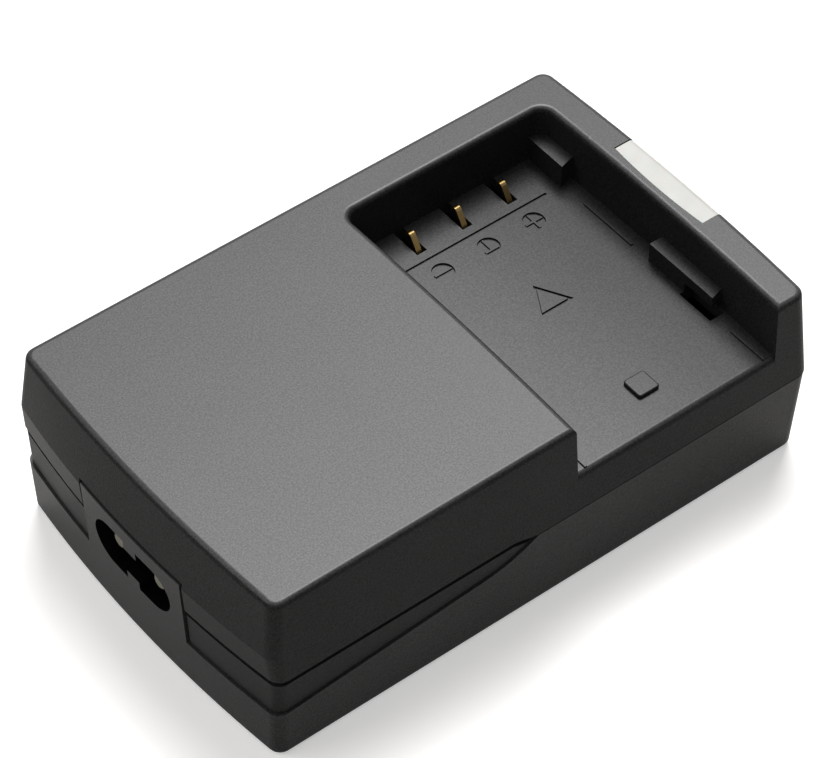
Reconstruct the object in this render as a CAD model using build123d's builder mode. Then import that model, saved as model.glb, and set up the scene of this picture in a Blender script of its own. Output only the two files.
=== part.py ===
"""Desk charger for one camera battery.

A two-piece moulded body: the upper case carries an open battery bay with three spring contacts, and the
lower case carries a two-pole mains inlet.  X runs along the body from the inlet end (-X) to the lamp end
(+X), the bay opens towards -Y, and the body stands on the plane z = 0.
"""

import os
from math import radians, tan

from build123d import *

# Body form: straight long sides, gently bowed ends
body_height = 29.8
deck_half_width = 26.7
deck_half_length = 43.4
deck_far_bow = 0.9
deck_inlet_bow = 1.2
corner_radius = 1.9
deck_edge_radius = 0.9
flare_angle = 4.5
crease_height = 20.4
crease_inlet_bow = 2.2
inlet_undercut = 0.6
skirt_height = 15.0
skirt_far_bow = 1.0
skirt_inlet_bow = 2.35
rim_inset = 0.05
side_draft = 2.9
far_draft = 1.2
inlet_draft = 2.2
inlet_setback = 0.35
bottom_inlet_bow = 1.7
belly_inlet_bow = 2.4
bottom_edge_radius = 1.2

# Shallow recess under the base
recess_length = 56.0
recess_width = 34.0
recess_depth = 0.3
recess_corner_radius = 1.5

# Wedge-shaped band where the parting line falls away towards the inlet, and the groove along that line
band_inset = 0.3
overhang_rise = 1.0
overhang_bend_x = -6.0
overgap_height = 1.1
overgap_depth = 0.75
wedge_tip_x = -2.1
wedge_bend_x = -10.4
wedge_drop = 3.0
parting_slope = 4.75
reveal_height = 0.25
reveal_depth = 0.45

# Walls and the lap joint between the two cases
wall = 2.0
base_thickness = 2.0
lip_inset = 1.2
lip_height = 1.2
lip_clearance = 0.1

# Battery bay, sizes at its floor
bay_depth = 8.6
bay_step_x = 4.5
bay_step_bow = 0.5
bay_far_x = 38.2
bay_far_bow = 0.5
bay_back_y = 21.0
bay_draft = 1.5
bay_corner_radius = 1.5
bay_lip_radius = 0.95
back_skin = 1.8
far_skin = 1.6

# Marks and guides on the bay floor
contact_pitch = 7.85
contact_middle_x = 21.35
slot_width = 1.7
slot_length = 5.2
dish_radius = 1.63
dish_depth = 0.5
dish_y = 11.3
arrow_radius = 3.35
arrow_line = 0.4
arrow_y = -1.3
groove_y = 14.3
groove_width = 0.42
mark_depth = 0.28
groove_start_x = 5.0
groove_end_x = 33.9
pad_size = 3.5
pad_height = 0.6
pad_x = 21.0
pad_y = -20.45
pad_corner_radius = 0.45
pad_edge_radius = 0.25
rib_width = 0.4
rib_height = 0.25
rib_far_gap = 1.5
rib_step_gap = 1.8
front_rib_length = 6.4
front_rib_y = -23.6
rear_rib_length = 9.9
rear_rib_y = 4.65

# Hold-down tabs on the far wall of the bay, cut aslant in front
tab_slant = 15.0
corner_tab_x = 36.2
corner_tab_start_y = 14.0
corner_tab_height = 3.9
hook_x = 36.6
hook_start_y = -16.4
hook_end_y = -3.8
hook_height = 3.2
hook_bar = 1.6
hook_hole_length = 6.2
hook_hole_lead = 0.8

# Lamp window at the far end
lens_length = 18.0
lens_end_x = 40.85
lens_bow = 0.4
lens_depth = 3.4
lens_gap = 0.12
lens_drop = 0.12
guide_width = 8.0
guide_thickness = 1.1
guide_foot_length = 3.6
guide_headroom = 1.2
lamp_gap = 0.3

# Mains inlet
inlet_height = 14.5
inlet_pitch = 8.6
inlet_lobe_radius = 3.75
inlet_waist = 4.6
inlet_waist_width = 2.6
surround_half_width = 10.6
surround_top = 20.9
surround_back_x = -42.0
surround_gap = 0.4
inlet_depth = 8.0
inlet_back = 2.2
inlet_side = 2.0
pin_radius = 1.2
pin_edge_radius = 0.25
pin_recess = 1.2
pin_tail_length = 1.4
pin_tail_radius = 0.6
pin_clearance = 0.05

# Circuit board on four posts of the lower case
board_underside = 5.6
board_thickness = 1.6
board_margin = 1.0
board_corner_radius = 2.0
post_radius = 2.5
post_pin_radius = 1.2
post_pin_clearance = 0.1
post_pin_rise = 0.8
post_end_distance = 5.0
post_side_distance = 5.0

# Spring contacts, bent from flat strip, and the block that carries them
finger_width = 0.85
finger_thickness = 0.35
finger_crest = 2.0
finger_setback = 0.4
finger_clearance = 0.1
finger_knee_depth = 0.7
finger_crest_y = 18.15
finger_tip_y = 19.0
finger_tip_height = 1.25
finger_bend_radius = 0.5
block_length = 22.0
block_width = 8.2
block_thickness = 5.0

# Parts on the board: sizes along X, Y and Z, or radius and height, and the place of the middle
chip_standoff = 0.3
chip_leg_width = 0.6
chip_leg_reach = 0.9
chip_edge = 0.4
chip_leg_pitch = 2.54
can_edge_radius = 0.6
can_groove_depth = 0.4
can_groove_height = 1.8
fuse_radius = 4.2
fuse_height = 8.0
fuse_place = (-22.0, -17.0)
suppressor_size = (13.0, 6.0, 12.0)
suppressor_place = (-22.0, 17.0)
choke_radius = 5.5
choke_height = 12.0
choke_core_radius = 2.6
choke_flange = 1.5
choke_winding_radius = 5.0
choke_place = (-22.8, -1.0)
rectifier_size = (8.5, 5.0, 3.4)
rectifier_place = (-10.0, -19.5)
mains_can_radius = 5.0
mains_can_height = 16.0
mains_can_place = (-9.0, 16.5)
switch_size = (9.6, 5.0, 3.6)
switch_place = (-11.0, -11.5)
diode_size = (5.0, 2.6, 2.4)
diode_place = (8.0, -4.0)
optocoupler_size = (4.6, 5.0, 3.4)
optocoupler_place = (7.0, 6.0)
output_can_radius = 4.0
output_can_headroom = 2.0
output_can_place = (12.0, -15.0)
controller_size = (10.0, 5.6, 2.3)
controller_place = (24.0, -6.0)
lamp_size = (2.8, 3.2, 1.6)
lamp_dome_radius = 1.1
lamp_dome_height = 0.4
lamp_edge_distance = 1.8

# Transformer standing on the board, its spool upright
transformer_place = (-7.5, 1.0)
core_width = 17.0
core_depth = 5.0
core_height = 15.0
core_yoke = 2.4
core_leg = 4.6
core_side = 2.3
bobbin_base = 2.0
bobbin_wall = 0.8
bobbin_flange = 1.0
bobbin_depth = 13.0
bobbin_clearance = 0.15
winding_gap = 0.1
winding_recess = 0.6

# Derived body sizes
skirt_growth = tan(radians(flare_angle)) * (body_height - skirt_height)
crease_growth = tan(radians(flare_angle)) * (body_height - crease_height)
skirt_half_width = deck_half_width + skirt_growth
overhang_height = skirt_height + overhang_rise
wedge_bend_height = skirt_height - wedge_drop
skirt_far_reach = deck_half_length + skirt_growth
crease_inlet_reach = deck_half_length + crease_growth
skirt_inlet_reach = crease_inlet_reach - inlet_undercut
bay_floor = body_height - bay_depth
board_top = board_underside + board_thickness
guide_foot_top = bay_floor - wall - guide_headroom
output_can_height = bay_floor - wall - board_top - output_can_headroom
belly_wall = wall + rim_inset
span = 4 * deck_half_length


def outline(height, half_width, far_reach, far_bow, inlet_reach, inlet_bow, inset):
    """Plan of the body at one height: two straight sides, two bowed ends, four rounded corners."""
    side = half_width - inset
    far = far_reach - inset
    inlet = inset - inlet_reach
    with BuildSketch(Plane.XY.offset(height)) as plan:
        with BuildLine():
            Line((inlet, -side), (far, -side))
            ThreePointArc((far, -side), (far + far_bow, 0), (far, side))
            Line((far, side), (inlet, side))
            ThreePointArc((inlet, side), (inlet - inlet_bow, 0), (inlet, -side))
        make_face()
        fillet(plan.vertices(), corner_radius - 0.5 * inset)
    return plan.sketch


def upper_sections(top, inset=0.0):
    """Plans of the upper case at the skirt, at the crease and at the given top height."""
    skirt = outline(skirt_height, skirt_half_width, skirt_far_reach, skirt_far_bow,
                    skirt_inlet_reach, skirt_inlet_bow, inset)
    crease = outline(crease_height, deck_half_width + crease_growth, deck_half_length + crease_growth,
                     skirt_far_bow, crease_inlet_reach, crease_inlet_bow, inset)
    deck = outline(top, deck_half_width, deck_half_length, deck_far_bow,
                   deck_half_length, deck_inlet_bow, inset)
    return [skirt, crease, deck]


def belly_section(height, inset):
    """Plan of the lower case, which narrows towards the table."""
    rise = height - skirt_height
    half_width = skirt_half_width + tan(radians(side_draft)) * rise - rim_inset
    far_reach = skirt_far_reach + tan(radians(far_draft)) * rise - rim_inset
    inlet_reach = crease_inlet_reach + tan(radians(inlet_draft)) * rise - inlet_setback
    inlet_bow = bottom_inlet_bow + (belly_inlet_bow - bottom_inlet_bow) * height / surround_top
    return outline(height, half_width, far_reach, skirt_far_bow, inlet_reach, inlet_bow, inset)


def belly(inset, bottom=0.0):
    """Solid inside the lower case's outer form, set in by the given amount."""
    with BuildPart() as form:
        loft([belly_section(bottom, inset), belly_section(surround_top, inset)], ruled=True)
    return form.part


def figure_eight():
    """Two round lobes joined by a waist, as on a two-pole appliance inlet."""
    with BuildSketch(Plane.YZ) as eight:
        with Locations((0, inlet_height)):
            with GridLocations(inlet_pitch, 0, 2, 1):
                Circle(inlet_lobe_radius)
            Rectangle(inlet_pitch, 2 * inlet_lobe_radius)
            with GridLocations(0, inlet_waist + inlet_lobe_radius, 1, 2):
                Rectangle(inlet_waist_width, inlet_lobe_radius, mode=Mode.SUBTRACT)
    return eight.sketch


# Space under the parting line: it falls towards the inlet and rises in an arc to the wedge's tip
with BuildPart() as under_parting:
    with BuildSketch(Plane.XZ):
        with BuildLine():
            tip = (wedge_tip_x, skirt_height)
            bend = (wedge_bend_x, wedge_bend_height)
            fall = tan(radians(parting_slope)) * (span + wedge_bend_x)
            slope = Line((-span, wedge_bend_height - fall), bend)
            TangentArc(bend, tip, tangent=slope % 1)
            Polyline(tip, (span, skirt_height), (span, -span), (-span, -span), slope @ 0)
        make_face()
    extrude(amount=span, both=True)

# Space under the overhanging edge of the upper case
with BuildPart() as under_overhang:
    with BuildSketch(Plane.XZ):
        with BuildLine():
            Polyline(
                (-span, overhang_height),
                (overhang_bend_x, overhang_height),
                (wedge_tip_x, skirt_height),
                (span, skirt_height),
                (span, -span),
                (-span, -span),
                close=True,
            )
        make_face()
    extrude(amount=span, both=True)

# Plan of the bay at its floor: bowed step and far wall, straight back wall, open in front
with BuildSketch(Plane.XY.offset(bay_floor)) as bay_plan:
    bay_reach = 1.5 * deck_half_width
    bow_scale = 1.5 ** 2
    with BuildLine():
        step_x = bay_step_x - bay_step_bow * (bow_scale - 1)
        far_x = bay_far_x - bay_far_bow * (bow_scale - 1)
        step_side = ThreePointArc((step_x, -bay_reach), (bay_step_x + bay_step_bow, 0), (step_x, bay_reach))
        far_side = ThreePointArc((far_x, -bay_reach), (bay_far_x + bay_far_bow, 0), (far_x, bay_reach))
        Line(step_side @ 0, far_side @ 0)
        Line(step_side @ 1, far_side @ 1)
    make_face()
    with Locations((bay_far_x, bay_back_y)):
        Rectangle(span, span, align=(Align.CENTER, Align.MIN), mode=Mode.SUBTRACT)
    fillet(bay_plan.vertices().group_by(Axis.Y)[-1], bay_corner_radius)

# Outer form of the upper case with the bay cut in and its edges rounded
with BuildPart() as outer_form:
    loft(upper_sections(body_height), ruled=True)
    extrude(bay_plan.sketch, amount=2 * bay_depth, taper=-bay_draft, mode=Mode.SUBTRACT)
    fillet(outer_form.faces().sort_by(Axis.Z)[-1].edges(), deck_edge_radius)
    bay_front = outer_form.faces().filter_by(Plane.XY).group_by(Axis.Z)[-2].edges().sort_by(Axis.Y)[0]
    fillet(bay_front, bay_lip_radius)

# Hollow of the upper case, which runs up beside the bay into its far and back walls
with BuildPart() as upper_hollow:
    loft(upper_sections(body_height - wall, wall), ruled=True)
    with Locations((bay_step_x - wall, bay_back_y + back_skin, bay_floor - wall)):
        Box(
            bay_far_x + bay_far_bow + far_skin - bay_step_x + wall,
            span,
            body_height,
            align=(Align.MIN, Align.MAX, Align.MIN),
            mode=Mode.SUBTRACT,
        )

# Hollow of the lower case, carried up past the parting line
lower_hollow = belly(belly_wall, base_thickness)

# Lip of the lower case and the room that the upper case leaves for it
with BuildPart() as lip:
    add(belly(lip_inset))
    add(under_parting.part.moved(Location((0, 0, lip_height))), mode=Mode.INTERSECT)
with BuildPart() as lip_room:
    add(belly(lip_inset - lip_clearance))
    add(under_parting.part.moved(Location((0, 0, lip_height + lip_clearance))), mode=Mode.INTERSECT)

# Groove that runs right under the overhanging edge
with BuildPart() as overgap:
    add(belly(-wall))
    add(under_overhang.part.moved(Location((0, 0, -overgap_height))), mode=Mode.SUBTRACT)
    add(belly(overgap_depth), mode=Mode.SUBTRACT)

# Wedge-shaped band, a part of the upper case that stands back under its overhang
with BuildPart() as band:
    add(belly(band_inset))
    add(under_overhang.part, mode=Mode.INTERSECT)
    add(under_parting.part, mode=Mode.SUBTRACT)
    add(overgap.part, mode=Mode.SUBTRACT)
with BuildPart() as band_hollow:
    add(lower_hollow)
    add(under_overhang.part, mode=Mode.INTERSECT)

# Fine groove that the lower case leaves along the parting line
with BuildPart() as reveal:
    add(belly(-wall))
    add(under_parting.part.moved(Location((0, 0, -reveal_height))), mode=Mode.SUBTRACT)
    add(belly(reveal_depth), mode=Mode.SUBTRACT)

# Key pad on the bay floor
with BuildPart() as pad:
    with BuildSketch(Plane.XY.offset(bay_floor)):
        with Locations((pad_x, pad_y)):
            RectangleRounded(pad_size, pad_size, pad_corner_radius)
    extrude(amount=pad_height)
    fillet(pad.faces().sort_by(Axis.Z)[-1].edges(), pad_edge_radius)


def lens_window(gap):
    """Plan of the lamp window, bowed towards the bay and open outwards, set in by the given gap."""
    ends = lens_length / 2 - gap
    inner_x = lens_end_x + gap
    with BuildSketch(Plane.XY.offset(body_height - lens_depth)) as plan:
        with BuildLine():
            inner = ThreePointArc((inner_x, -ends), (inner_x - lens_bow, 0), (inner_x, ends))
            Polyline(inner @ 1, (span, ends), (span, -ends), inner @ 0)
        make_face()
    return plan.sketch


def tab(edge_x, start_y, end_y):
    """Plan of a tab that grows out of the bay's far wall, its front end cut aslant."""
    root_x = bay_far_x + bay_far_bow + wall / 2
    slant = tan(radians(tab_slant)) * (root_x - edge_x)
    with BuildSketch(Plane.XY.offset(bay_floor)) as plan:
        Polygon((edge_x, start_y), (root_x, start_y + slant), (root_x, end_y), (edge_x, end_y), align=None)
    return plan.sketch


contact_names = ["contact_negative", "contact_thermal", "contact_positive"]
contact_x = [contact_middle_x + contact_pitch * place for place in (-1, 0, 1)]
slot_y = bay_back_y - slot_length / 2
rib_far_x = bay_far_x - rib_far_gap
rib_step_x = bay_step_x + rib_step_gap

with BuildPart() as upper_case:
    add(outer_form.part)
    add(under_overhang.part, mode=Mode.SUBTRACT)
    add(band.part)
    # Hollow inside, with a rebate for the lip
    add(upper_hollow.part, mode=Mode.SUBTRACT)
    add(band_hollow.part, mode=Mode.SUBTRACT)
    add(lip_room.part, mode=Mode.SUBTRACT)
    # Notch for the inlet surround
    with Locations((-span, 0, surround_top + surround_gap)):
        Box(
            span + surround_back_x,
            2 * (surround_half_width + surround_gap),
            span,
            align=(Align.MIN, Align.CENTER, Align.MAX),
            mode=Mode.SUBTRACT,
        )
    # Lamp window
    extrude(lens_window(0), amount=2 * lens_depth, mode=Mode.SUBTRACT)
    # Hold-down tabs grow out of the far wall
    extrude(tab(corner_tab_x, corner_tab_start_y, bay_back_y + wall / 2), amount=corner_tab_height)
    extrude(tab(hook_x, hook_start_y, hook_end_y), amount=hook_height)
    hook_underside = bay_floor + hook_height - hook_bar
    with Locations((hook_x - hook_hole_lead, hook_start_y - hook_hole_lead, hook_underside)):
        Box(
            bay_far_x - hook_x + hook_hole_lead,
            hook_hole_length,
            hook_height + wall,
            align=(Align.MIN, Align.MIN, Align.MAX),
            mode=Mode.SUBTRACT,
        )
    # Slots for the contacts and shallow marks in front of them
    with Locations([(x, slot_y, bay_floor) for x in contact_x]):
        Box(slot_width, slot_length, 3 * wall, mode=Mode.SUBTRACT)
    with Locations([(x, dish_y, bay_floor) for x in contact_x]):
        Cylinder(dish_radius, 2 * dish_depth, mode=Mode.SUBTRACT)
    with BuildSketch(Plane.XY.offset(bay_floor)):
        with Locations((contact_middle_x, arrow_y)):
            RegularPolygon(arrow_radius, 3, rotation=90)
            RegularPolygon(arrow_radius - 2 * arrow_line, 3, rotation=90, mode=Mode.SUBTRACT)
        with Locations(((groove_start_x + groove_end_x) / 2, groove_y)):
            SlotOverall(groove_end_x - groove_start_x, groove_width)
    extrude(amount=-mark_depth, mode=Mode.SUBTRACT)
    # Guide ribs and the key pad
    with Locations((rib_far_x, front_rib_y, bay_floor), (rib_step_x, front_rib_y, bay_floor)):
        Box(rib_width, front_rib_length, 2 * rib_height)
    with Locations((rib_far_x, rear_rib_y, bay_floor)):
        Box(rib_width, rear_rib_length, 2 * rib_height)
    add(pad.part)
upper_case.part.label = "upper_case"

# Board posts stand near the board's corners
board_setback = rim_inset + belly_wall + board_margin
board_setback += tan(radians(side_draft)) * (skirt_height - board_underside)
board_half_width = skirt_half_width - board_setback
board_far_x = skirt_far_reach - board_setback
board_inlet_x = board_setback - skirt_inlet_reach
board_length = board_far_x - board_inlet_x
board_middle_x = (board_far_x + board_inlet_x) / 2
post_span_x = board_length - 2 * post_end_distance
post_span_y = 2 * (board_half_width - post_side_distance)
upright = (Align.CENTER, Align.CENTER, Align.MIN)

# Upright plate around the inlet, grown out of the lower case's end wall
with BuildPart() as surround:
    add(belly(0))
    with Locations((surround_back_x, 0, base_thickness)):
        Box(
            span,
            2 * surround_half_width,
            surround_top - base_thickness,
            align=(Align.MAX, Align.CENTER, Align.MIN),
            mode=Mode.INTERSECT,
        )

with BuildPart() as lower_case:
    add(belly(0))
    fillet(lower_case.faces().sort_by(Axis.Z)[0].edges(), bottom_edge_radius)
    add(under_parting.part, mode=Mode.INTERSECT)
    add(reveal.part, mode=Mode.SUBTRACT)
    add(lip.part)
    add(lower_hollow, mode=Mode.SUBTRACT)
    add(surround.part)
    extrude(figure_eight(), amount=-span, mode=Mode.SUBTRACT)
    with Locations((board_middle_x, 0, base_thickness / 2)):
        with GridLocations(post_span_x, post_span_y, 2, 2):
            Cylinder(post_radius, board_underside - base_thickness / 2, align=upright)
            Cylinder(post_pin_radius, board_top + post_pin_rise - base_thickness / 2, align=upright)
    with BuildSketch(Plane.XY):
        RectangleRounded(recess_length, recess_width, recess_corner_radius)
    extrude(amount=recess_depth, mode=Mode.SUBTRACT)
lower_case.part.label = "lower_case"

# Light guide: window block in the far wall, a stem down through the wall, a foot over the lamp
guide_x = bay_far_x + bay_far_bow + far_skin + lens_gap
lamp_x = board_far_x - lamp_edge_distance
lamp_top = board_top + lamp_size[2] + lamp_dome_height
with BuildPart() as lamp_lens:
    extrude(lens_window(lens_gap), amount=2 * lens_depth)
    add(outer_form.part.moved(Location((0, 0, -lens_drop))), mode=Mode.INTERSECT)
    with Locations((guide_x, 0, guide_foot_top)):
        Box(
            guide_thickness,
            guide_width,
            body_height - wall - lens_gap - guide_foot_top,
            align=(Align.MIN, Align.CENTER, Align.MIN),
        )
    with Locations((guide_x + guide_thickness, 0, lamp_top + lamp_gap)):
        Box(
            guide_foot_length,
            guide_width,
            guide_foot_top - lamp_top - lamp_gap,
            align=(Align.MAX, Align.CENTER, Align.MIN),
        )
lamp_lens.part.label = "lamp_lens"

# Insulating cup of the inlet, standing on the board behind the surround
inlet_back_x = surround_back_x + inlet_depth + inlet_back
pin_places = [("inlet_pin_left", inlet_pitch / 2), ("inlet_pin_right", -inlet_pitch / 2)]
with BuildPart() as inlet_body:
    with Locations((surround_back_x, 0, board_top)):
        Box(
            inlet_depth + inlet_back,
            inlet_pitch + 2 * (inlet_lobe_radius + inlet_side),
            inlet_height + inlet_lobe_radius + inlet_side - board_top,
            align=(Align.MIN, Align.CENTER, Align.MIN),
        )
    fillet(inlet_body.edges().filter_by(Axis.X).group_by(Axis.Z)[-1], inlet_side)
    extrude(figure_eight().moved(Location((surround_back_x, 0, 0))), amount=inlet_depth, mode=Mode.SUBTRACT)
    with BuildSketch(Plane.YZ.offset(inlet_back_x)):
        with Locations([(y, inlet_height) for name, y in pin_places]):
            Circle(pin_radius + pin_clearance)
    extrude(amount=-2 * inlet_back, mode=Mode.SUBTRACT)
inlet_body.part.label = "inlet_body"

# Inlet pins: round nosed rods with a tail down to the board
inlet_face = belly_section(inlet_height, 0)
pin_tip_x = inlet_face.bounding_box().min.X + pin_recess
pin_end_x = inlet_back_x + pin_tail_length
inlet_pins = []
for pin_name, pin_y in pin_places:
    with BuildPart() as inlet_pin:
        with BuildSketch(Plane.YZ.offset(pin_tip_x)):
            with Locations((pin_y, inlet_height)):
                Circle(pin_radius)
        extrude(amount=pin_end_x - pin_tip_x)
        fillet(inlet_pin.faces().sort_by(Axis.X)[0].edges(), pin_edge_radius)
        with Locations((pin_end_x - pin_tail_radius, pin_y, board_top)):
            Cylinder(pin_tail_radius, inlet_height - board_top, align=upright)
    inlet_pin.part.label = pin_name
    inlet_pins.append(inlet_pin.part)

# Contact block under the bay floor, slotted for the contacts
with BuildPart() as contact_block:
    with Locations((contact_middle_x, slot_y, bay_floor - wall)):
        Box(block_length, block_width, block_thickness, align=(Align.CENTER, Align.CENTER, Align.MAX))
    with Locations([(x, bay_back_y, bay_floor - wall) for x in contact_x]):
        Box(
            slot_width,
            slot_length - finger_setback + finger_clearance,
            3 * block_thickness,
            align=(Align.CENTER, Align.MAX, Align.CENTER),
            mode=Mode.SUBTRACT,
        )
contact_block.part.label = "contact_block"

# Contacts: strip that rises from the board, leans back to a crest and ends in a short curl
finger_root_y = bay_back_y - slot_length + finger_setback + finger_thickness / 2
contacts = []
for contact_name, x in zip(contact_names, contact_x):
    with BuildPart() as contact:
        with BuildSketch(Plane.YZ.offset(x - finger_width / 2)):
            with BuildLine():
                FilletPolyline(
                    (finger_root_y, board_top),
                    (finger_root_y, bay_floor - finger_knee_depth),
                    (finger_crest_y, bay_floor + finger_crest),
                    (finger_tip_y, bay_floor + finger_tip_height),
                    radius=finger_bend_radius,
                )
            trace(line_width=finger_thickness)
        extrude(amount=finger_width)
    contact.part.label = contact_name
    contacts.append(contact.part)

# Circuit board with a hole for each post pin
with BuildPart() as circuit_board:
    with BuildSketch(Plane.XY.offset(board_underside)):
        with Locations((board_middle_x, 0)):
            RectangleRounded(board_length, 2 * board_half_width, board_corner_radius)
            with GridLocations(post_span_x, post_span_y, 2, 2):
                Circle(post_pin_radius + post_pin_clearance, mode=Mode.SUBTRACT)
    extrude(amount=board_thickness)
circuit_board.part.label = "circuit_board"


def chip(name, size, place, legs):
    """Moulded chip body on a row of legs along each long side."""
    length, width, height = size
    with BuildPart() as body:
        with Locations((*place, board_top + chip_standoff)):
            Box(length, width, height - chip_standoff, align=upright)
        chamfer(body.faces().sort_by(Axis.Z)[-1].edges(), chip_edge)
        with Locations((*place, board_top)):
            with GridLocations(chip_leg_pitch, width, legs, 2):
                Box(chip_leg_width, 2 * chip_leg_reach, height / 2, align=upright)
    body.part.label = name
    return body.part


def can(name, radius, height, place):
    """Capacitor can with a rounded top and a rolled groove near its foot."""
    with BuildPart() as body:
        with Locations((*place, board_top)):
            Cylinder(radius, height, align=upright)
        fillet(body.faces().sort_by(Axis.Z)[-1].edges(), can_edge_radius)
        with Locations((*place, board_top + can_groove_height)):
            Torus(radius + can_groove_depth, 2 * can_groove_depth, mode=Mode.SUBTRACT)
    body.part.label = name
    return body.part


mains_capacitor = can("mains_capacitor", mains_can_radius, mains_can_height, mains_can_place)
output_capacitor = can("output_capacitor", output_can_radius, output_can_height, output_can_place)
bridge_rectifier = chip("bridge_rectifier", rectifier_size, rectifier_place, 2)
switching_chip = chip("switching_chip", switch_size, switch_place, 4)
output_diode = chip("output_diode", diode_size, diode_place, 1)
optocoupler = chip("optocoupler", optocoupler_size, optocoupler_place, 2)
charge_controller = chip("charge_controller", controller_size, controller_place, 4)

with BuildPart() as line_fuse:
    with Locations((*fuse_place, board_top)):
        Cylinder(fuse_radius, fuse_height, align=upright)
    fillet(line_fuse.faces().sort_by(Axis.Z)[-1].edges(), can_edge_radius)
line_fuse.part.label = "line_fuse"

with BuildPart() as suppression_capacitor:
    with Locations((*suppressor_place, board_top)):
        Box(*suppressor_size, align=upright)
    fillet(suppression_capacitor.edges().filter_by(Axis.Z), can_edge_radius)
suppression_capacitor.part.label = "suppression_capacitor"

# Line choke: a drum core and its coil
with BuildPart() as line_choke_core:
    with Locations((*choke_place, board_top)):
        Cylinder(choke_radius, choke_flange, align=upright)
        Cylinder(choke_core_radius, choke_height, align=upright)
    with Locations((*choke_place, board_top + choke_height - choke_flange)):
        Cylinder(choke_radius, choke_flange, align=upright)
line_choke_core.part.label = "line_choke_core"

with BuildPart() as line_choke_winding:
    with Locations((*choke_place, board_top + choke_flange)):
        Cylinder(choke_winding_radius, choke_height - 2 * choke_flange, align=upright)
        Cylinder(choke_core_radius, choke_height, align=upright, mode=Mode.SUBTRACT)
line_choke_winding.part.label = "line_choke_winding"

# Transformer core: a closed frame with a middle leg
core_foot = board_top + bobbin_base
window_width = (core_width - core_leg) / 2 - core_side
window_height = core_height - 2 * core_yoke
with BuildPart() as transformer_core:
    with Locations((*transformer_place, core_foot)):
        Box(core_width, core_depth, core_height, align=upright)
    with Locations((*transformer_place, core_foot + core_yoke)):
        with GridLocations(core_leg + window_width, 0, 2, 1):
            Box(window_width, 2 * core_depth, window_height, align=upright, mode=Mode.SUBTRACT)
transformer_core.part.label = "transformer_core"

# Bobbin: spool around the middle leg with two flanges, carried down to the board by a foot at each end
spool_x = core_leg + 2 * (bobbin_clearance + bobbin_wall)
spool_y = core_depth + 2 * (bobbin_clearance + bobbin_wall)
flange_x = core_leg + 2 * (window_width - bobbin_clearance)
spool_foot = core_foot + core_yoke + bobbin_clearance
spool_height = window_height - 2 * bobbin_clearance
with BuildPart() as transformer_bobbin:
    with Locations((*transformer_place, spool_foot)):
        Box(spool_x, spool_y, spool_height, align=upright)
        Box(flange_x, bobbin_depth, bobbin_flange, align=upright)
    with Locations((*transformer_place, spool_foot + spool_height - bobbin_flange)):
        Box(flange_x, bobbin_depth, bobbin_flange, align=upright)
    with Locations((*transformer_place, board_top)):
        with GridLocations(0, bobbin_depth - (bobbin_depth - core_depth) / 2 + bobbin_clearance, 1, 2):
            Box(
                flange_x,
                (bobbin_depth - core_depth) / 2 - bobbin_clearance,
                spool_foot - board_top,
                align=upright,
            )
    with Locations((*transformer_place, core_foot)):
        Box(
            core_leg + 2 * bobbin_clearance,
            core_depth + 2 * bobbin_clearance,
            core_height,
            align=upright,
            mode=Mode.SUBTRACT,
        )
transformer_bobbin.part.label = "transformer_bobbin"

with BuildPart() as transformer_winding:
    with BuildSketch(Plane.XY.offset(spool_foot + bobbin_flange)):
        with Locations(transformer_place):
            RectangleRounded(flange_x - 2 * winding_recess, bobbin_depth - 2 * winding_recess, bobbin_wall)
            Rectangle(spool_x + 2 * winding_gap, spool_y + 2 * winding_gap, mode=Mode.SUBTRACT)
    extrude(amount=spool_height - 2 * bobbin_flange)
transformer_winding.part.label = "transformer_winding"

# Lamp under the light guide's foot
with BuildPart() as charge_lamp:
    with Locations((lamp_x, 0, board_top)):
        Box(*lamp_size, align=upright)
        Cylinder(lamp_dome_radius, lamp_size[2] + lamp_dome_height, align=upright)
charge_lamp.part.label = "charge_lamp"

pieces = [
    upper_case.part,
    lower_case.part,
    lamp_lens.part,
    inlet_body.part,
    *inlet_pins,
    contact_block.part,
    *contacts,
    circuit_board.part,
    line_fuse.part,
    suppression_capacitor.part,
    line_choke_core.part,
    line_choke_winding.part,
    bridge_rectifier,
    mains_capacitor,
    switching_chip,
    transformer_core.part,
    transformer_bobbin.part,
    transformer_winding.part,
    output_diode,
    output_capacitor,
    optocoupler,
    charge_controller,
    charge_lamp.part,
]
os.makedirs("parts", exist_ok=True)
for piece in pieces:
    export_step(piece, f"parts/{piece.label}.step")
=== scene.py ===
# %% [markdown]
# # A desk charger for one camera battery
# The charger is a dark moulded box.  Its solids come ready from the CAD frame, so this lesson dresses
# them: it sets the camera and the light, gives each piece its finish, and adds the small raised signs
# that are too fine for the solids.  Everything is in metres, in the frame of the solids: X runs from
# the mains inlet to the lamp, the bay opens towards -Y, and the charger stands on the plane z = 0.

import bpy
import numpy as np
from mathutils import Matrix, Vector


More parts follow.
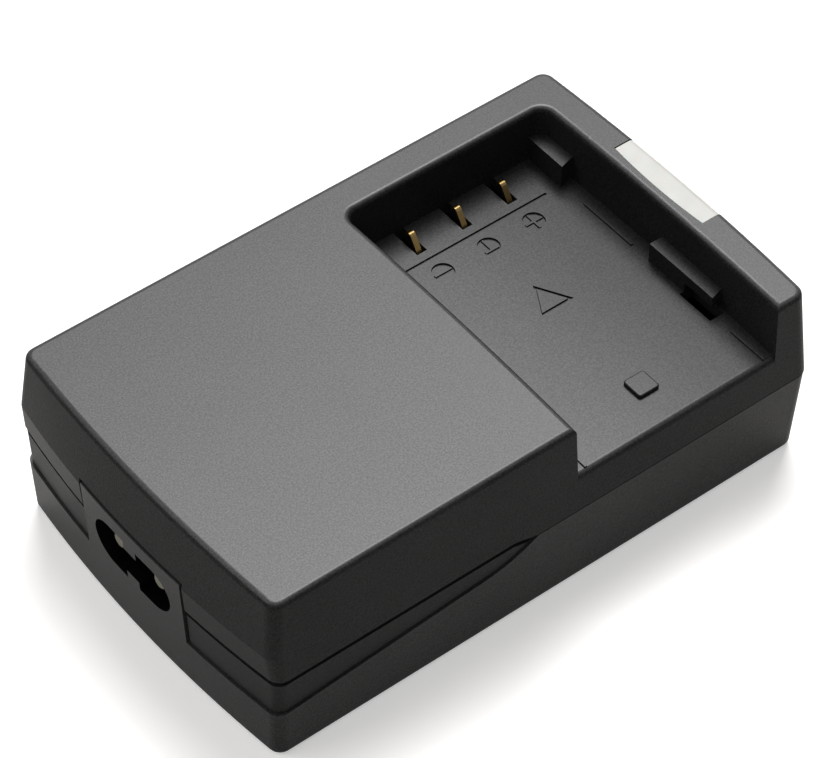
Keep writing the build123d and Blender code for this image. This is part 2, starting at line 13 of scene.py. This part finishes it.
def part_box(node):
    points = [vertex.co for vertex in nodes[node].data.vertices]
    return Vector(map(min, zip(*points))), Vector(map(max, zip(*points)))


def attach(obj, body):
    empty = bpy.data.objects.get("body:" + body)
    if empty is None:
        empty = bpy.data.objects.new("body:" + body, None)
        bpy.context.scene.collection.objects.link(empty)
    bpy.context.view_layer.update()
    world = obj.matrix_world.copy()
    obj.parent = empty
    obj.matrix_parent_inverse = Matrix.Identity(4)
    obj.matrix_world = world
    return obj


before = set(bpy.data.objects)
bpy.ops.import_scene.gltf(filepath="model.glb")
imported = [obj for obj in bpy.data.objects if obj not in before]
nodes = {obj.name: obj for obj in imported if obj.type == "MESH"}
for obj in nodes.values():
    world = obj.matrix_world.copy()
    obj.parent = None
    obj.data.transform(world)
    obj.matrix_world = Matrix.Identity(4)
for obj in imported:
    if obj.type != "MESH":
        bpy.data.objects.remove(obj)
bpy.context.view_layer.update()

# %% [markdown]
# ## Camera
# The photograph was taken with a long lens from above the near corner.  A camera could be aimed by eye
# with a Track To constraint, but here its three axes were worked out from the body's edges, so they are
# written down as a matrix: right, up and backwards are its columns, and the eye is its place.

# %% Camera
IMAGE_WIDTH = 814
FOCAL_PIXELS = 3856.6
SENSOR_MM = 36.0
EYE = (-0.21646, -0.26220, 0.39127)
RIGHT = (0.78394, -0.62064, 0.01541)
UP = (0.45038, 0.58560, 0.67398)
BACK = (-0.42732, -0.52142, 0.73860)

lens = bpy.data.cameras.new("camera")
lens.sensor_fit = "HORIZONTAL"
lens.sensor_width = SENSOR_MM
lens.lens = FOCAL_PIXELS * SENSOR_MM / IMAGE_WIDTH
lens.clip_start = 0.01
camera = bpy.data.objects.new("camera", lens)
turn = Matrix((RIGHT, UP, BACK)).transposed()
camera.matrix_world = Matrix.Translation(EYE) @ turn.to_4x4()
bpy.context.scene.collection.objects.link(camera)
bpy.context.scene.camera = camera
bpy.context.scene.view_settings.view_transform = "Standard"
print("lens:", round(lens.lens, 1), "mm")

# %% [markdown]
# ## Shader maths in Python
# A material is a graph of nodes.  Drawing it by hand is slow to read, so one small class wraps a node's
# socket: adding or multiplying two of them adds the Math node that does it.  A second class holds a tree
# of nodes and makes any other node from its type, its settings and the values of its sockets, and a third
# is such a tree with a Principled shader at its end, which is one material.


# %% Sockets that add and multiply
class Value:
    """A number that changes over a surface; arithmetic on it adds Math nodes."""

    def __init__(self, graph, socket):
        self.graph = graph
        self.socket = socket

    def math(self, operation, first, second):
        """Adds the Math node of an operation on two numbers."""
        return self.graph.node("ShaderNodeMath", {"operation": operation}, {0: first, 1: second})

    def __add__(self, other):
        return self.math("ADD", self, other)

    def __sub__(self, other):
        return self.math("SUBTRACT", self, other)

    def __rsub__(self, other):
        return self.math("SUBTRACT", other, self)

    def __mul__(self, other):
        return self.math("MULTIPLY", self, other)

    def __abs__(self):
        return self.graph.node("ShaderNodeMath", {"operation": "ABSOLUTE"}, {0: self})

    __radd__ = __add__
    __rmul__ = __mul__


# %% Trees of nodes
class Graph:
    """A tree of nodes, and the one method that adds a node to it."""

    def __init__(self, tree):
        self.tree = tree

    def plug(self, socket, value):
        """Links a Value to a socket, or sets a plain number or colour on it."""
        if isinstance(value, Value):
            self.tree.links.new(value.socket, socket)
        else:
            socket.default_value = value

    def node(self, kind, settings, sockets, output=0):
        """Adds a node: its settings first, then its sockets, and gives one of its outputs."""
        made = self.tree.nodes.new(kind)
        for name, setting in settings.items():
            setattr(made, name, setting)
        for name, value in sockets.items():
            self.plug(made.inputs[name], value)
        return Value(self, made.outputs[output])

    def backdrop(self):
        """Above 0 for rays that show the background: from the camera, off a shiny face or through glass."""
        kinds = ("Is Camera Ray", "Is Glossy Ray", "Is Transmission Ray")
        seen, mirrored, through = [self.node("ShaderNodeLightPath", {}, {}, kind) for kind in kinds]
        return seen + mirrored + through


# %% Materials
MM_PER_METRE = 1000.0


class Finish(Graph):
    """One material: a Principled shader and the nodes that feed it."""

    def __init__(self, name):
        self.material = bpy.data.materials.new(name)
        self.material.use_nodes = True
        super().__init__(self.material.node_tree)
        self.tree.nodes.clear()
        self.shader = self.tree.nodes.new("ShaderNodeBsdfPrincipled")
        output = self.tree.nodes.new("ShaderNodeOutputMaterial")
        self.tree.links.new(self.shader.outputs[0], output.inputs["Surface"])

    def set(self, **sockets):
        """Sets or links sockets of the Principled shader; an underscore stands for a space."""
        for name, value in sockets.items():
            self.plug(self.shader.inputs[name.replace("_", " ")], value)
        return self

    def fed(self, name):
        """What is linked to a socket of the Principled shader so far."""
        return Value(self, self.shader.inputs[name].links[0].from_socket)

    def place(self):
        """Where a point of the surface lies, in millimetres."""
        metres = self.node("ShaderNodeTexCoord", {}, {}, "Object")
        return self.node("ShaderNodeVectorMath", {"operation": "SCALE"}, {0: metres, "Scale": MM_PER_METRE})

    def facing(self):
        """The way that the surface faces, in the object's own axes."""
        return self.node("ShaderNodeTexCoord", {}, {}, "Normal")

    def part(self, vector, axis):
        """One of the three numbers of a vector."""
        return self.node("ShaderNodeSeparateXYZ", {}, {0: vector}, axis)

    def noise(self, place, size, detail=2.0):
        """Cloudy noise from 0 to 1 whose lumps are about size millimetres across."""
        return self.node("ShaderNodeTexNoise", {}, {"Vector": place, "Scale": 1.0 / size, "Detail": detail})

    def ramp(self, value, low, high):
        """0 below low, 1 above high, and a smooth climb between them."""
        return self.node("ShaderNodeMapRange", {"interpolation_type": "SMOOTHSTEP"},
                         {"Value": value, "From Min": low, "From Max": high})

    def blend(self, share, first, second):
        """The first colour where share is 0, the second where it is 1: sockets 6 and 7 of a Mix node."""
        return self.node("ShaderNodeMix", {"data_type": "RGBA"}, {0: share, 6: first, 7: second}, 2)

    def bump(self, height, depth):
        """Normal of a surface raised by height times depth millimetres."""
        return self.node("ShaderNodeBump", {}, {"Height": height, "Distance": depth / MM_PER_METRE})


def grey(level, tint=0.0):
    """A neutral colour, cooler where tint is above 0."""
    return (level * (1 - tint), level, level * (1 + tint), 1.0)


def shade(colour, factor):
    """The same colour made lighter or darker."""
    return (colour[0] * factor, colour[1] * factor, colour[2] * factor, 1.0)


def between(share, low, high):
    """The low number where share is 0, the high one where it is 1."""
    return low + (high - low) * share


print("shader helpers ready")

# %% [markdown]
# ## Moulded plastic
# The cases are charcoal plastic from a mould whose steel was spark-eroded, which leaves a fine, even
# sparkle of bumps a quarter of a millimetre across.  An image texture could hold it, but noise on the
# object's own coordinates needs no file and never stretches.  A slow second noise keeps large faces from
# looking computer-flat, and the roughness follows both.  The parts inside use the same finish with finer
# bumps and other colours.

# %% Speckled plastic
GRAIN_MM = 0.24
CLOUD_MM = 14.0
GRAIN_SHARE = 0.8
SPECKLE = (0.3, 0.7)
DARK_SPECK, LIGHT_SPECK = 0.5, 1.5
GRAIN_ROUGHNESS = 0.16
CLOUD_ROUGHNESS = 0.06
PLAIN_GLOSS = 0.5


def moulded_plastic(name, colour, roughness, grain_depth, gloss=PLAIN_GLOSS):
    """Spark-textured plastic: speckled colour and roughness, and a bump of small grains."""
    finish = Finish(name)
    place = finish.place()
    grain = finish.noise(place, GRAIN_MM)
    cloud = finish.noise(place, CLOUD_MM)
    tone = finish.ramp(GRAIN_SHARE * grain + (1 - GRAIN_SHARE) * cloud, *SPECKLE)
    return finish.set(
        Base_Color=finish.blend(tone, shade(colour, DARK_SPECK), shade(colour, LIGHT_SPECK)),
        Roughness=roughness + GRAIN_ROUGHNESS * (grain - 0.5) + CLOUD_ROUGHNESS * (cloud - 0.5),
        Normal=finish.bump(grain, grain_depth),
        Specular_IOR_Level=gloss,
    )


black_plastic = moulded_plastic("insulator_plastic", grey(0.003), 0.40, 0.006, gloss=0.0)
chip_plastic = moulded_plastic("chip_plastic", grey(0.018), 0.55, 0.008)
bobbin_plastic = moulded_plastic("bobbin_plastic", (0.05, 0.04, 0.03, 1.0), 0.5, 0.008)
fuse_plastic = moulded_plastic("fuse_plastic", (0.12, 0.045, 0.025, 1.0), 0.5, 0.008)
print("grain:", GRAIN_MM, "mm")

# %% [markdown]
# ## Sheen of the cases
# Side walls scrape along the steel when the mould opens and come out dull, while faces that look straight
# up lift off cleanly and keep a soft sheen.  A second material could be given to those faces, but a coat
# that fades in with the surface's own normal also follows the rounded edges.  The coat is full on the deck
# and a little fuller towards the lamp end, which is painted light; it is thinner on the floor of the bay,
# and thinnest towards its far wall, which is painted shade of the bay's walls.

# %% Sheen on what looks up
SHEEN = 0.57
SHEEN_IOR = 1.6
SHEEN_ROUGHNESS = 0.37
FLOOR_MM = 21.2
BAY_MM = (6.0, 34.0)
LEVEL = (0.6, 0.98)
# Painted shade: less coat on the bay's floor, least by its far wall; painted light: more towards the lamp
# end.
FAR_FLOOR_SHADED_SHEEN, NEAR_FLOOR_SHADED_SHEEN = 0.53, 0.86
INLET_END_SHADED_SHEEN, LAMP_END_LIT_SHEEN = 0.9, 1.1
SPARKLE = (0.7, 1.3)
case_low, case_high = [MM_PER_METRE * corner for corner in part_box("upper_case")]


def top_sheen(finish):
    """A coat on faces that look up: full on the deck; thinner on the bay's floor, least by its far wall, as
    painted shade.
    """
    place = finish.place()
    along = finish.part(place, "X")
    upward = finish.ramp(finish.part(finish.facing(), "Z"), *LEVEL)
    above_bay_shade = finish.ramp(finish.part(place, "Z"), FLOOR_MM, case_high.z)
    # Painted shade of the bay and painted light along the length, carried in the coat's weight.
    floor = between(finish.ramp(along, *BAY_MM), NEAR_FLOOR_SHADED_SHEEN, FAR_FLOOR_SHADED_SHEEN)
    painted_light_along = between(finish.ramp(along, case_low.x, case_high.x), INLET_END_SHADED_SHEEN, LAMP_END_LIT_SHEEN)
    sheen_with_painted_shade = (above_bay_shade + (1 - above_bay_shade) * floor) * painted_light_along
    sparkle = between(finish.noise(place, GRAIN_MM), *SPARKLE)
    return finish.set(
        Coat_Weight=SHEEN * sheen_with_painted_shade * upward * sparkle,
        Coat_Roughness=SHEEN_ROUGHNESS,
        Coat_IOR=SHEEN_IOR,
    )


upper_plastic = top_sheen(moulded_plastic("upper_case_plastic", grey(0.016, -0.01), 0.44, 0.04, gloss=0.035))
lower_plastic = top_sheen(moulded_plastic("lower_case_plastic", grey(0.023, -0.02), 0.44, 0.04, gloss=0.054))
print("deck at", round(case_high.z, 2), "mm, bay floor at", FLOOR_MM, "mm")

# %% [markdown]
# ## Mouth of the inlet
# The opening of the mains inlet is black all the way in: partly the black of its insulating cup, and partly
# painted shade deep in the mouth.  Its outermost walls belong to the lower case, so they would come out
# charcoal.  They could be cut off as a piece of their own, but on the real case they are one moulding with
# the plate, so the case's own finish turns black there, and its coat is taken away.  The walls are found by
# where they lie and by not facing the way that the plate does.

# %% Black walls of the mouth
PIN_PITCH_MM = 8.6
LOBE_RADIUS_MM = 3.75
MOUTH_HALF_WIDTH_MM = PIN_PITCH_MM / 2 + LOBE_RADIUS_MM
MOUTH_HEIGHT_MM = 14.5
MOUTH_BACK_MM = -38.0
MOUTH_FADE_MM = 0.3
NOT_PLATE = (-0.9, -0.5)
# The mouth's black is partly the insert's own black and partly painted shade deep in the mouth.
MOUTH_BLACK_AND_SHADE = grey(0.001)


def black_and_shaded_mouth(finish):
    """Black and painted shade, no coat, within the mouth's width, height and depth, where the surface
    doesn't face -X.
    """
    place = finish.place()
    share = finish.ramp(finish.part(finish.facing(), "X"), *NOT_PLATE)
    for reach, limit in [
        (abs(finish.part(place, "Y")), MOUTH_HALF_WIDTH_MM),
        (abs(finish.part(place, "Z") - MOUTH_HEIGHT_MM), LOBE_RADIUS_MM),
        (finish.part(place, "X"), MOUTH_BACK_MM),
    ]:
        share = share * (1 - finish.ramp(reach, limit, limit + MOUTH_FADE_MM))
    return finish.set(
        Base_Color=finish.blend(share, finish.fed("Base Color"), MOUTH_BLACK_AND_SHADE),
        Coat_Weight=finish.fed("Coat Weight") * (1 - share),
    )


black_and_shaded_mouth(lower_plastic)
print("mouth:", 2 * MOUTH_HALF_WIDTH_MM, "by", 2 * LOBE_RADIUS_MM, "mm")

# %% [markdown]
# ## Light guide
# The lamp window is one milky block that carries the charge lamp's light to the top edge.  Real milky
# plastic lets light wander inside; subsurface scattering gives the soft edges that a flat white lacks.

# %% Light guide and lamp
HAZE_MM = 3.0
LAMP_HAZE_MM = 0.6

milky = Finish("milky_plastic")
haze = milky.noise(milky.place(), HAZE_MM)
milky.set(
    Base_Color=milky.blend(haze, (0.44, 0.44, 0.415, 1.0), (0.52, 0.52, 0.495, 1.0)),
    Roughness=between(haze, 0.32, 0.38),
    Subsurface_Weight=0.25,
    Subsurface_Scale=0.0012,
)
lamp_plastic = Finish("lamp_plastic")
lamp_haze = lamp_plastic.noise(lamp_plastic.place(), LAMP_HAZE_MM)
lamp_plastic.set(
    Base_Color=lamp_plastic.blend(lamp_haze, (0.55, 0.52, 0.42, 1.0), (0.72, 0.70, 0.62, 1.0)),
    Roughness=between(lamp_haze, 0.2, 0.3),
)
print("light guide:", milky.material.name, lamp_plastic.material.name)

# %% [markdown]
# ## Metal
# The contacts are gilt strip and the inlet pins are plated rod, both a little dull.  They were drawn or
# rolled, so their fine scratches run along one direction: the noise is stretched that way with a Mapping
# node.  Metal shows nothing but its reflections, so a darker base colour is what dulls it.

# %% Metals
SCRATCH_MM = 0.12
SCRATCH_DEPTH_MM = 0.004
TARNISH_MM = 1.6


def plated_metal(name, colour, roughness, stretch):
    """Plating with long thin scratches; stretch squeezes the noise along each axis."""
    finish = Finish(name)
    drawn = finish.node("ShaderNodeMapping", {}, {"Vector": finish.place(), "Scale": stretch})
    scratch = finish.noise(drawn, SCRATCH_MM)
    tarnish = finish.noise(finish.place(), TARNISH_MM)
    return finish.set(
        Base_Color=finish.blend(tarnish, shade(colour, 0.8), shade(colour, 1.1)),
        Metallic=1.0,
        Roughness=between(scratch, roughness, roughness + 0.12),
        Normal=finish.bump(scratch, SCRATCH_DEPTH_MM),
    )


gilt = plated_metal("gilt_strip", (0.16, 0.11, 0.043, 1.0), 0.26, (1.0, 0.15, 0.15))
nickel = plated_metal("nickel_pin", (0.078, 0.068, 0.038, 1.0), 0.2, (0.1, 1.0, 1.0))
copper = plated_metal("copper_wire", (0.62, 0.25, 0.10, 1.0), 0.35, (1.0, 1.0, 6.0))
print("metals:", gilt.material.name, nickel.material.name, copper.material.name)

# %% [markdown]
# ## Parts on the board
# Nobody sees the board without opening the case, but the pieces are real and get real finishes: a lacquered
# laminate with tracks under the lacquer, sintered ferrite, shrunk sleeves, a potted box and wound tape.
# One plain colour each would do for a closed box; noise, bricks and waves cost little more and hold up when
# someone takes the cases off.

# %% Board finishes
WEAVE_PER_MM = 0.35
TRACK_MM = 6.0
TRACK_EDGE = (0.48, 0.52)
TRACK_HEIGHT_MM = 0.03
TAPE_PER_MM = 0.5
TAPE_HEIGHT_MM = 0.05

laminate = Finish("board_laminate")
board_place = laminate.place()
weave = laminate.node("ShaderNodeTexBrick", {"offset": 0.5},
                      {"Vector": board_place, "Scale": WEAVE_PER_MM, "Mortar Size": 0.12}, "Fac")
lacquer = laminate.noise(board_place, TRACK_MM)
track = laminate.ramp(lacquer, *TRACK_EDGE)
laminate.set(
    Base_Color=laminate.blend(track * (1 - weave), (0.012, 0.075, 0.03, 1.0), (0.03, 0.14, 0.055, 1.0)),
    Roughness=between(lacquer, 0.3, 0.4),
    Normal=laminate.bump(track, TRACK_HEIGHT_MM),
)

ferrite = moulded_plastic("ferrite", grey(0.03), 0.6, 0.03)
sleeve = moulded_plastic("shrunk_sleeve", (0.012, 0.018, 0.045, 1.0), 0.28, 0.004)
potted_box = moulded_plastic("potted_box", (0.50, 0.31, 0.035, 1.0), 0.32, 0.004)

tape = Finish("wound_tape")
layer = tape.node("ShaderNodeTexWave", {"bands_direction": "Z"},
                  {"Vector": tape.place(), "Scale": TAPE_PER_MM, "Distortion": 0.4}, "Fac")
tape.set(
    Base_Color=tape.blend(layer, (0.42, 0.27, 0.03, 1.0), (0.56, 0.40, 0.06, 1.0)),
    Roughness=between(layer, 0.3, 0.45),
    Normal=tape.bump(layer, TAPE_HEIGHT_MM),
)
print("board finishes ready")

# %% [markdown]
# ## Dressing the solids
# Each solid is one piece of the real charger, of one material, so each takes one finish.  Materials
# could be picked by hand in the viewport, but a list that names every piece shows at a glance what is what.

# %% Each solid takes its finish
finishes = {
    "upper_case": upper_plastic,
    "lower_case": lower_plastic,
    "lamp_lens": milky,
    "contact_negative": gilt,
    "contact_thermal": gilt,
    "contact_positive": gilt,
    "inlet_pin_left": nickel,
    "inlet_pin_right": nickel,
    "inlet_body": black_plastic,
    "contact_block": black_plastic,
    "circuit_board": laminate,
    "line_fuse": fuse_plastic,
    "suppression_capacitor": potted_box,
    "line_choke_core": ferrite,
    "line_choke_winding": copper,
    "bridge_rectifier": chip_plastic,
    "mains_capacitor": sleeve,
    "switching_chip": chip_plastic,
    "transformer_core": ferrite,
    "transformer_bobbin": bobbin_plastic,
    "transformer_winding": tape,
    "output_diode": chip_plastic,
    "output_capacitor": sleeve,
    "optocoupler": chip_plastic,
    "charge_controller": chip_plastic,
    "charge_lamp": lamp_plastic,
}
for name, finish in finishes.items():
    nodes[name].data.materials.clear()
    nodes[name].data.materials.append(finish.material)
print("dressed:", len(finishes), "of", len(nodes))

# %% [markdown]
# ## Polarity signs
# Each contact has a round mark in front of it: a shallow dish with a bar, a T or a cross that stands up from
# its bottom, a little lower than the floor of the bay.  They could be booleans on the case, but a sign is
# only an outline carried upwards.  Its rim is drawn in slightly at the top, as a mould needs, and flat
# faces close both ends.

# %% Outlines of the signs
SIGN_REACH = 0.00145
SIGN_HALF_WIDTH = 0.00020
TEE_NEAR = 0.00092
TEE_REACH = 0.00115


def sign_outlines():
    """Corners of each sign around its own middle: a bar, a T and a cross, anticlockwise."""
    reach, half, beam = SIGN_REACH, SIGN_HALF_WIDTH, TEE_REACH
    near, far = -TEE_NEAR, 2 * half - TEE_NEAR
    bar = [(-reach, -half), (reach, -half), (reach, half), (-reach, half)]
    tee = [(-beam, near), (beam, near), (beam, far), (half, far),
           (half, reach), (-half, reach), (-half, far), (-beam, far)]
    cross = [(-reach, -half), (-half, -half), (-half, -reach), (half, -reach),
             (half, -half), (reach, -half), (reach, half), (half, half),
             (half, reach), (-half, reach), (-half, half), (-reach, half)]
    return {"negative": bar, "thermal": tee, "positive": cross}


def closed_stack(outline, levels, draws):
    """Copies of an outline at each level, joined by walls and closed at both ends.

    A corner moves by its level's draw along the sum of the inward normals of its two edges.
    """
    flat = np.array(outline)
    before = flat - np.roll(flat, 1, axis=0)
    after = np.roll(flat, -1, axis=0) - flat
    inward = np.stack([-before[:, 1], before[:, 0]], 1) / np.linalg.norm(before, axis=1)[:, None]
    inward += np.stack([-after[:, 1], after[:, 0]], 1) / np.linalg.norm(after, axis=1)[:, None]
    rows, count = len(levels), len(flat)
    points = np.empty((rows, count, 3))
    points[..., :2] = flat + np.array(draws)[:, None, None] * inward
    points[..., 2] = np.array(levels)[:, None]
    index = np.arange(rows * count).reshape(rows, count)
    turned = np.roll(index, -1, axis=1)
    walls = np.stack([index[:-1], turned[:-1], turned[1:], index[1:]], -1).reshape(-1, 4)
    return points.reshape(-1, 3), walls.tolist() + [index[-1].tolist(), index[0, ::-1].tolist()]


print("signs:", list(sign_outlines()))

# %% [markdown]
# ## Feet under the signs
# Beside the marks of the photograph the dishes look a little deep, so each sign stands on a thin round plate
# that lies in its dish, a hair clear of the rim.  A shallower dish in the solid would do the same, but the
# solids stay as they are, and foot and sign are one small mesh.  Heights are counted from the bay's floor.

# %% Signs in the dishes
BAY_FLOOR = FLOOR_MM / MM_PER_METRE
DISH_Y = 0.0113
DISH_BOTTOM = -0.0005
FOOT_RADIUS = 0.00161
FOOT_CORNERS = 64
FOOT_TOP = -0.0003
SIGN_TOP = -0.00008
SIGN_DRAW = 0.00005


def raised_sign(name, outline, middle_x):
    """A round foot that lies in the dish, and a sign that stands on it with its upper half drawn in."""
    angle = np.linspace(0, 2 * np.pi, FOOT_CORNERS, endpoint=False)
    ring = FOOT_RADIUS * np.stack([np.cos(angle), np.sin(angle)], 1)
    foot, foot_faces = closed_stack(ring, [DISH_BOTTOM, FOOT_TOP], [0, 0])
    stroke, stroke_faces = closed_stack(
        outline, [DISH_BOTTOM, (FOOT_TOP + SIGN_TOP) / 2, SIGN_TOP], [0, 0, SIGN_DRAW])
    points = np.concatenate([foot, stroke]) + np.array([middle_x, DISH_Y, BAY_FLOOR])
    faces = foot_faces + [[corner + len(foot) for corner in face] for face in stroke_faces]
    mesh = bpy.data.meshes.new(name)
    mesh.from_pydata(points.tolist(), [], faces)
    mesh.materials.append(upper_plastic.material)
    piece = bpy.data.objects.new(name, mesh)
    bpy.context.scene.collection.objects.link(piece)
    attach(piece, "root")
    return piece


for pole, outline in sign_outlines().items():
    low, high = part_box("contact_" + pole)
    sign = raised_sign("sign_" + pole, outline, (low.x + high.x) / 2)
    print(sign.name, "with", len(sign.data.polygons), "faces at x =", round((low.x + high.x) / 2, 5))

# %% [markdown]
# ## Table
# The charger stands on a white table that runs out of the picture.  A curved backdrop would hide the horizon
# in a low view, but from above a plain plane is enough.  More light would make it pure white and would also
# wash out the charger, so instead the table glows a little for rays that show it as background, and its
# shadow stays.  It lies a hair below the charger's base, because two faces in one plane flicker.

# %% Table
TABLE_HALF = 1.5
TABLE_TOP = -0.00002
TABLE_WHITE = grey(0.88, -0.025)
TABLE_GLOW = 0.38

table_mesh = bpy.data.meshes.new("table")
corners = [(x, y, TABLE_TOP) for x, y in TABLE_HALF * np.array([(-1, -1), (1, -1), (1, 1), (-1, 1)])]
table_mesh.from_pydata(corners, [], [(0, 1, 2, 3)])
table = bpy.data.objects.new("table", table_mesh)
bpy.context.scene.collection.objects.link(table)
paper = Finish("table_paper")
paper.set(
    Base_Color=TABLE_WHITE,
    Roughness=0.9,
    Specular_IOR_Level=0.1,
    Emission_Strength=TABLE_GLOW,
    Emission_Color=paper.blend(paper.backdrop(), grey(0.0), grey(1.0)),
)
table_mesh.materials.append(paper.material)
print("table:", 2 * TABLE_HALF, "m")

# %% [markdown]
# ## Light
# One broad soft lamp above and behind the charger makes the deck shine while the near sides stay dark and
# the shadow falls towards the viewer.  A weak lamp on the left and a large faint one over the camera open
# that shadow.  A picture of a studio could light the scene too, but three lamps are easier to place by the
# shadows of the photograph.  The sky is white as background and nearly dark as a light.

# %% Sky
SKY_LIGHT = 0.08

world = bpy.data.worlds.new("studio")
bpy.context.scene.world = world
world.use_nodes = True
sky = Graph(world.node_tree)
background = sky.tree.nodes["Background"]
brightness = sky.node("ShaderNodeMapRange", {}, {"Value": sky.backdrop(), "To Min": SKY_LIGHT})
sky.plug(background.inputs["Color"], grey(1.0))
sky.plug(background.inputs["Strength"], brightness)
print("sky:", SKY_LIGHT, "as light, 1.0 as background")


# %% Lamps
def soft_light(name, place, aim, size, radiance):
    """A square area lamp; its power is radiance times area times pi."""
    lamp = bpy.data.lights.new(name, "AREA")
    lamp.shape = "SQUARE"
    lamp.size = size
    lamp.energy = radiance * size * size * np.pi
    holder = bpy.data.objects.new(name, lamp)
    holder.location = place
    holder.rotation_euler = (Vector(aim) - Vector(place)).to_track_quat("-Z", "Y").to_euler()
    bpy.context.scene.collection.objects.link(holder)
    print(name, round(lamp.energy, 2), "W")


soft_light("back_light", (0.329, 0.340, 0.971), (0.0, 0.0, 0.03), size=0.50, radiance=16.4)
soft_light("left_light", (-0.60, 0.30, 0.60), (0.0, 0.0, 0.0), size=0.50, radiance=2.0)
soft_light("front_fill", (-0.40, -0.45, 0.90), (0.0, 0.0, 0.0), size=0.90, radiance=1.0)
